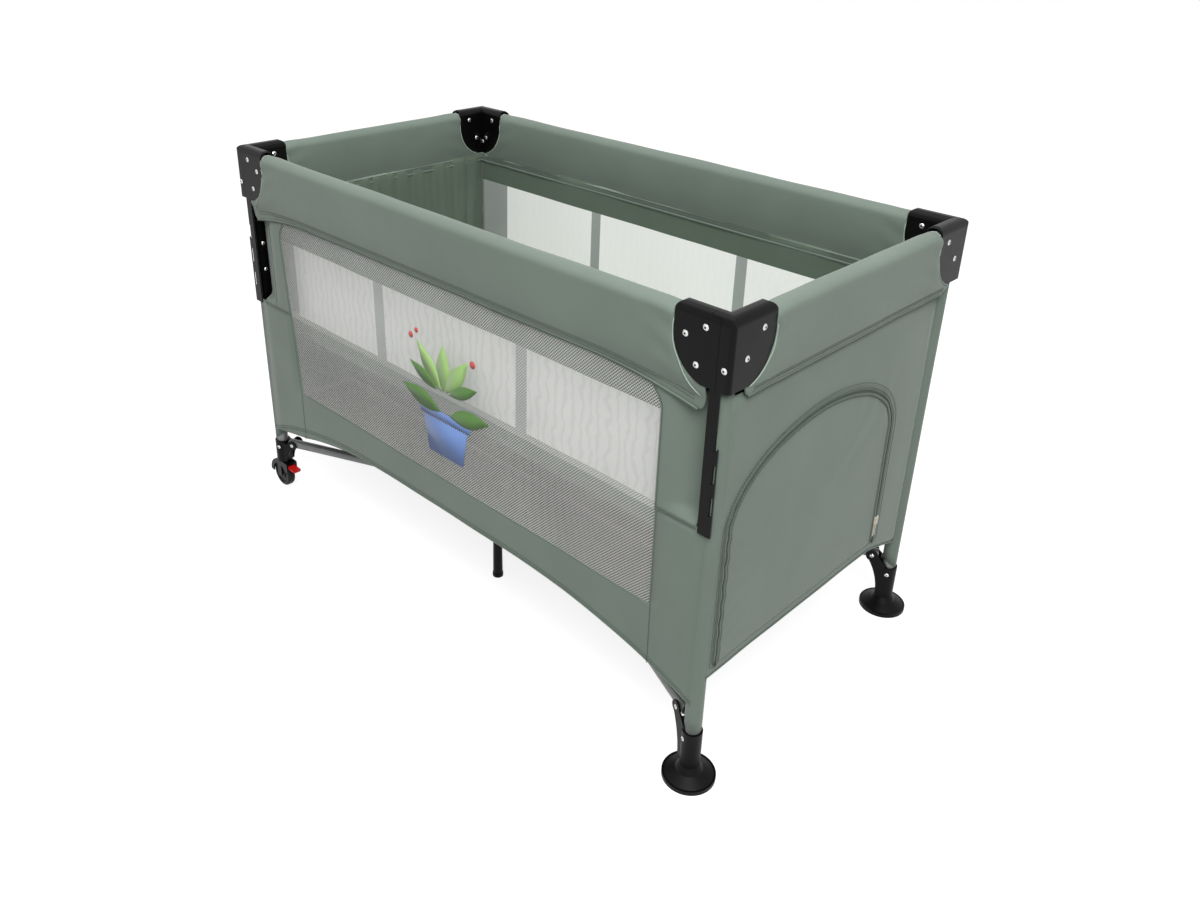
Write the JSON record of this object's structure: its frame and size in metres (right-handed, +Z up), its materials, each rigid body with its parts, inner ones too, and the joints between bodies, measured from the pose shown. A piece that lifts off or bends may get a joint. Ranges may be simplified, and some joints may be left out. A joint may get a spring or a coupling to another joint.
{
  "type": "folding playpen",
  "caption": "Folding playpen with mesh windows, a drop side, a hung bassinet with a mattress, a zipped end door, castors and a tube frame that folds to a bundle.",
  "frame": {"origin": "middle of the plan on the floor", "axes": "+Z up, +X along the length to the door end, -Y to the front with the drop side"},
  "size_m": [1.24, 0.676, 0.771],
  "materials": {
    "frame_tube": "grey painted steel tube",
    "black_plastic": "satin black moulded plastic",
    "red_plastic": "red moulded plastic",
    "cloth_green": "grey green woven polyester",
    "cloth_pale": "white panels with a green band",
    "mesh_grey": "grey knitted mesh",
    "pad_cloth": "padded cloth",
    "tyre": "dark wheel",
    "zip_metal": "pale zip slider"
  },
  "bodies": {
    "leg_front_left": {"leg_front_left": "frame_tube", "corner_front_left": "black_plastic", "track_left": "black_plastic", "castor_bracket_front_left": "black_plastic", "front_wall": "cloth_green", "front_net": "mesh_grey", "left_wall": "cloth_green", "left_cover": "cloth_green"},
    "leg_front_right": {"leg_front_right": "frame_tube", "corner_front_right": "black_plastic", "track_right": "black_plastic", "foot_bracket_front_right": "black_plastic", "right_wall": "cloth_green", "right_cover": "cloth_green"},
    "leg_back_left": {"leg_back_left": "frame_tube", "corner_back_left": "black_plastic", "castor_bracket_back_left": "black_plastic", "back_wall": "cloth_green", "back_net": "mesh_grey", "back_cover": "cloth_green"},
    "leg_back_right": {"leg_back_right": "frame_tube", "corner_back_right": "black_plastic", "foot_bracket_back_right": "black_plastic", "bassinet_walls": "cloth_pale"},
    "hub": {"hub": "black_plastic", "hub_feet": "black_plastic", "base_floor": "cloth_green"},
    "base_tube_front_left": {"base_tube_front_left": "frame_tube"},
    "base_tube_front_right": {"base_tube_front_right": "frame_tube"},
    "base_tube_back_left": {"base_tube_back_left": "frame_tube"},
    "base_tube_back_right": {"base_tube_back_right": "frame_tube"},
    "front_carriage_left": {"front_carriage_left": "black_plastic", "front_cover": "cloth_green"},
    "front_carriage_right": {"front_carriage_right": "black_plastic"},
    "front_rail_left": {"front_rail_left": "frame_tube"},
    "left_rail_front": {"left_rail_front": "frame_tube"},
    "front_rail_right": {"front_rail_right": "frame_tube"},
    "right_rail_front": {"right_rail_front": "frame_tube"},
    "back_rail_left": {"back_rail_left": "frame_tube"},
    "left_rail_back": {"left_rail_back": "frame_tube"},
    "back_rail_right": {"back_rail_right": "frame_tube"},
    "right_rail_back": {"right_rail_back": "frame_tube"},
    "front_lock": {"front_lock": "black_plastic"},
    "front_lock_button": {"front_lock_button": "red_plastic"},
    "back_lock": {"back_lock": "black_plastic"},
    "back_lock_button": {"back_lock_button": "red_plastic"},
    "left_lock": {"left_lock": "black_plastic"},
    "left_lock_button": {"left_lock_button": "red_plastic"},
    "right_lock": {"right_lock": "black_plastic"},
    "right_lock_button": {"right_lock_button": "red_plastic"},
    "castor_fork_front_left": {"castor_fork_front_left": "black_plastic"},
    "castor_wheel_front_left": {"castor_wheel_front_left": "tyre"},
    "castor_brake_front_left": {"castor_brake_front_left": "red_plastic"},
    "castor_fork_back_left": {"castor_fork_back_left": "black_plastic"},
    "castor_wheel_back_left": {"castor_wheel_back_left": "tyre"},
    "castor_brake_back_left": {"castor_brake_back_left": "red_plastic"},
    "door": {"door_flap": "cloth_green"},
    "zip_slider": {"zip_slider": "zip_metal"},
    "bassinet_floor": {"bassinet_floor": "cloth_green"},
    "mattress": {"mattress": "pad_cloth"}
  },
  "joints": [
    {"name": "frame_fold", "type": "hinge", "parent": "leg_front_left", "child": "base_tube_front_left", "pos_m": [-0.54862, -0.28332, 0.112], "axis": [0.3962, -0.9182, 0], "range_deg": [0, 85], "deforming": ["front_wall", "front_net", "left_wall", "left_cover", "right_wall", "right_cover", "back_wall", "back_net", "back_cover", "bassinet_walls", "bassinet_floor", "base_floor", "front_cover", "door_flap", "mattress", "zip_slider"]},
    {"name": "hub_level", "type": "hinge", "parent": "base_tube_front_left", "child": "hub", "pos_m": [-0.05262, -0.06932, 0.112], "axis": [0.3962, -0.9182, 0], "range_deg": [-85, 0]},
    {"name": "base_fold_front_right", "type": "hinge", "parent": "hub", "child": "base_tube_front_right", "pos_m": [0.05262, -0.06932, 0.112], "axis": [0.3962, 0.9182, 0], "range_deg": [0, 85]},
    {"name": "leg_level_front_right", "type": "hinge", "parent": "base_tube_front_right", "child": "leg_front_right", "pos_m": [0.54862, -0.28332, 0.112], "axis": [0.3962, 0.9182, 0], "range_deg": [-85, 0]},
    {"name": "base_fold_back_left", "type": "hinge", "parent": "hub", "child": "base_tube_back_left", "pos_m": [-0.05262, 0.06932, 0.112], "axis": [-0.3962, -0.9182, 0], "range_deg": [0, 85]},
    {"name": "leg_level_back_left", "type": "hinge", "parent": "base_tube_back_left", "child": "leg_back_left", "pos_m": [-0.54862, 0.28332, 0.112], "axis": [-0.3962, -0.9182, 0], "range_deg": [-85, 0]},
    {"name": "base_fold_back_right", "type": "hinge", "parent": "hub", "child": "base_tube_back_right", "pos_m": [0.05262, 0.06932, 0.112], "axis": [-0.3962, 0.9182, 0], "range_deg": [0, 85]},
    {"name": "leg_level_back_right", "type": "hinge", "parent": "base_tube_back_right", "child": "leg_back_right", "pos_m": [0.54862, 0.28332, 0.112], "axis": [-0.3962, 0.9182, 0], "range_deg": [-85, 0]},
    {"name": "side_drop", "type": "slide", "parent": "leg_front_left", "child": "front_carriage_left", "axis": [0, 0, -1], "range_m": [0, 0.19], "deforming": ["front_wall", "front_net"]},
    {"name": "front_rail_left_fold", "type": "hinge", "parent": "front_carriage_left", "child": "front_rail_left", "pos_m": [-0.528, -0.302, 0.735], "axis": [0, 1, 0], "range_deg": [0, 85]},
    {"name": "front_lock_level", "type": "hinge", "parent": "front_rail_left", "child": "front_lock", "pos_m": [-0.032, -0.302, 0.735], "axis": [0, 1, 0], "range_deg": [-85, 0]},
    {"name": "front_rail_right_fold", "type": "hinge", "parent": "front_lock", "child": "front_rail_right", "pos_m": [0.032, -0.302, 0.735], "axis": [0, -1, 0], "range_deg": [0, 85]},
    {"name": "back_rail_left_fold", "type": "hinge", "parent": "leg_back_left", "child": "back_rail_left", "pos_m": [-0.528, 0.302, 0.735], "axis": [0, 1, 0], "range_deg": [0, 85]},
    {"name": "back_lock_level", "type": "hinge", "parent": "back_rail_left", "child": "back_lock", "pos_m": [-0.032, 0.302, 0.735], "axis": [0, 1, 0], "range_deg": [-85, 0]},
    {"name": "back_rail_right_fold", "type": "hinge", "parent": "back_lock", "child": "back_rail_right", "pos_m": [0.032, 0.302, 0.735], "axis": [0, -1, 0], "range_deg": [0, 85]},
    {"name": "front_carriage_right_level", "type": "hinge", "parent": "front_rail_right", "child": "front_carriage_right", "pos_m": [0.528, -0.302, 0.735], "axis": [0, -1, 0], "range_deg": [-85, 0]},
    {"name": "left_rail_front_fold", "type": "hinge", "parent": "leg_front_left", "child": "left_rail_front", "pos_m": [-0.584, -0.246, 0.735], "axis": [-1, 0, 0], "range_deg": [0, 85]},
    {"name": "left_lock_level", "type": "hinge", "parent": "left_rail_front", "child": "left_lock", "pos_m": [-0.584, -0.032, 0.735], "axis": [-1, 0, 0], "range_deg": [-85, 0]},
    {"name": "left_rail_back_fold", "type": "hinge", "parent": "left_lock", "child": "left_rail_back", "pos_m": [-0.584, 0.032, 0.735], "axis": [1, 0, 0], "range_deg": [0, 85]},
    {"name": "right_rail_front_fold", "type": "hinge", "parent": "leg_front_right", "child": "right_rail_front", "pos_m": [0.584, -0.246, 0.735], "axis": [-1, 0, 0], "range_deg": [0, 85]},
    {"name": "right_lock_level", "type": "hinge", "parent": "right_rail_front", "child": "right_lock", "pos_m": [0.584, -0.032, 0.735], "axis": [-1, 0, 0], "range_deg": [-85, 0]},
    {"name": "right_rail_back_fold", "type": "hinge", "parent": "right_lock", "child": "right_rail_back", "pos_m": [0.584, 0.032, 0.735], "axis": [1, 0, 0], "range_deg": [0, 85]},
    {"name": "front_lock_press", "type": "slide", "parent": "front_lock", "child": "front_lock_button", "axis": [0, 0, 1], "range_m": [0, 0.006], "stiffness_N_per_m": 500},
    {"name": "back_lock_press", "type": "slide", "parent": "back_lock", "child": "back_lock_button", "axis": [0, 0, 1], "range_m": [0, 0.006], "stiffness_N_per_m": 500},
    {"name": "left_lock_press", "type": "slide", "parent": "left_lock", "child": "left_lock_button", "axis": [0, 0, 1], "range_m": [0, 0.006], "stiffness_N_per_m": 500},
    {"name": "right_lock_press", "type": "slide", "parent": "right_lock", "child": "right_lock_button", "axis": [0, 0, 1], "range_m": [0, 0.006], "stiffness_N_per_m": 500},
    {"name": "castor_swivel_front_left", "type": "hinge", "parent": "leg_front_left", "child": "castor_fork_front_left", "pos_m": [-0.578, -0.296, 0.03], "axis": [0, 0, 1], "continuous": true},
    {"name": "castor_roll_front_left", "type": "hinge", "parent": "castor_fork_front_left", "child": "castor_wheel_front_left", "pos_m": [-0.584, -0.296, 0.03], "axis": [0, 1, 0], "continuous": true},
    {"name": "castor_brake_front_left", "type": "hinge", "parent": "castor_fork_front_left", "child": "castor_brake_front_left", "pos_m": [-0.557, -0.296, 0.055], "axis": [0, 1, 0], "range_deg": [0, 24]},
    {"name": "castor_swivel_back_left", "type": "hinge", "parent": "leg_back_left", "child": "castor_fork_back_left", "pos_m": [-0.578, 0.296, 0.03], "axis": [0, 0, 1], "continuous": true},
    {"name": "castor_roll_back_left", "type": "hinge", "parent": "castor_fork_back_left", "child": "castor_wheel_back_left", "pos_m": [-0.584, 0.296, 0.03], "axis": [0, 1, 0], "continuous": true},
    {"name": "castor_brake_back_left", "type": "hinge", "parent": "castor_fork_back_left", "child": "castor_brake_back_left", "pos_m": [-0.557, 0.296, 0.055], "axis": [0, 1, 0], "range_deg": [0, 24]},
    {"name": "door_swing", "type": "hinge", "parent": "leg_front_right", "child": "door", "pos_m": [0.5912, 0, 0.212], "axis": [0, 1, 0], "range_deg": [0, 100]},
    {"name": "zip_slide", "type": "slide", "parent": "leg_front_right", "child": "zip_slider", "axis": [0, 0, 1], "range_m": [0, 0.17]},
    {"name": "bassinet_floor_lift", "type": "slide", "parent": "hub", "child": "bassinet_floor", "axis": [0, 0, 1], "range_m": [-0.16214, 0]},
    {"name": "mattress_lift", "type": "slide", "parent": "bassinet_floor", "child": "mattress", "axis": [0, 0, 1], "range_m": [0, 0.4]}
  ],
  "couplings": [
    {"joint": "hub_level", "follows": "frame_fold", "ratio": -1},
    {"joint": "base_fold_front_right", "follows": "frame_fold", "ratio": 1},
    {"joint": "leg_level_front_right", "follows": "frame_fold", "ratio": -1},
    {"joint": "base_fold_back_left", "follows": "frame_fold", "ratio": 1},
    {"joint": "leg_level_back_left", "follows": "frame_fold", "ratio": -1},
    {"joint": "base_fold_back_right", "follows": "frame_fold", "ratio": 1},
    {"joint": "leg_level_back_right", "follows": "frame_fold", "ratio": -1},
    {"joint": "front_rail_left_fold", "follows": "frame_fold", "ratio": 1},
    {"joint": "front_lock_level", "follows": "frame_fold", "ratio": -1},
    {"joint": "front_rail_right_fold", "follows": "frame_fold", "ratio": 1},
    {"joint": "back_rail_left_fold", "follows": "frame_fold", "ratio": 1},
    {"joint": "back_lock_level", "follows": "frame_fold", "ratio": -1},
    {"joint": "back_rail_right_fold", "follows": "frame_fold", "ratio": 1},
    {"joint": "front_carriage_right_level", "follows": "frame_fold", "ratio": -1},
    {"joint": "left_rail_front_fold", "follows": "frame_fold", "ratio": 1},
    {"joint": "left_lock_level", "follows": "frame_fold", "ratio": -1},
    {"joint": "left_rail_back_fold", "follows": "frame_fold", "ratio": 1},
    {"joint": "right_rail_front_fold", "follows": "frame_fold", "ratio": 1},
    {"joint": "right_lock_level", "follows": "frame_fold", "ratio": -1},
    {"joint": "right_rail_back_fold", "follows": "frame_fold", "ratio": 1},
    {"joint": "bassinet_floor_lift", "follows": "frame_fold", "m_per_rad": -0.10862}
  ]
}
